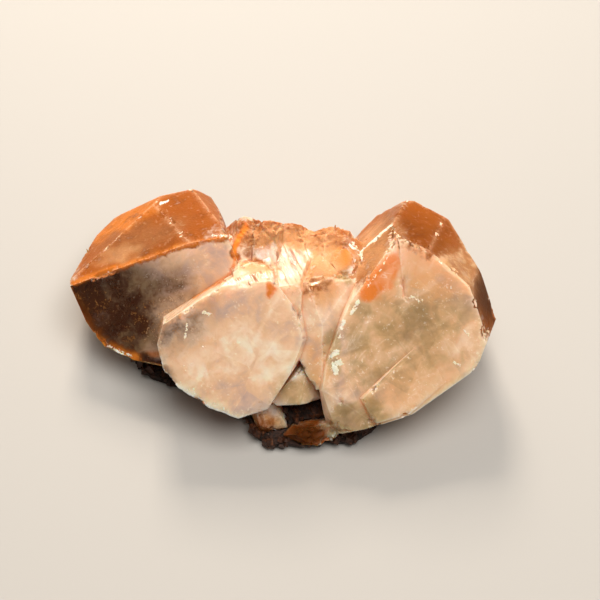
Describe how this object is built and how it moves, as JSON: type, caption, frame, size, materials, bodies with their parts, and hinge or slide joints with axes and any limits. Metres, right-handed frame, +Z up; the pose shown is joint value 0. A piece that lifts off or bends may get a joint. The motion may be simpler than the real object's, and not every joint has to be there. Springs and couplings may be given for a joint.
{
  "type": "calcite specimen",
  "caption": "Cluster of blocky, translucent peach calcite crystals with orange iron-stained backs, grown together on dark brown rock that is cut off flat to stand on.",
  "frame": {"origin": "bottom centre of the bounding box, on the surface that the specimen rests on", "axes": "+X along the specimen's length, towards the large pale crystal; -Y towards the viewer of its show side; +Z up"},
  "size_m": [0.1006, 0.062, 0.0351],
  "materials": {
    "calcite": "translucent crystal with glossy faces, cloudy peach inside, orange iron stain on the backs",
    "rock": "rough iron-stained rock, matt with small glints"
  },
  "bodies": {
    "root": {"calcite_crystals": "calcite", "matrix_rock": "rock"}
  },
  "joints": []
}
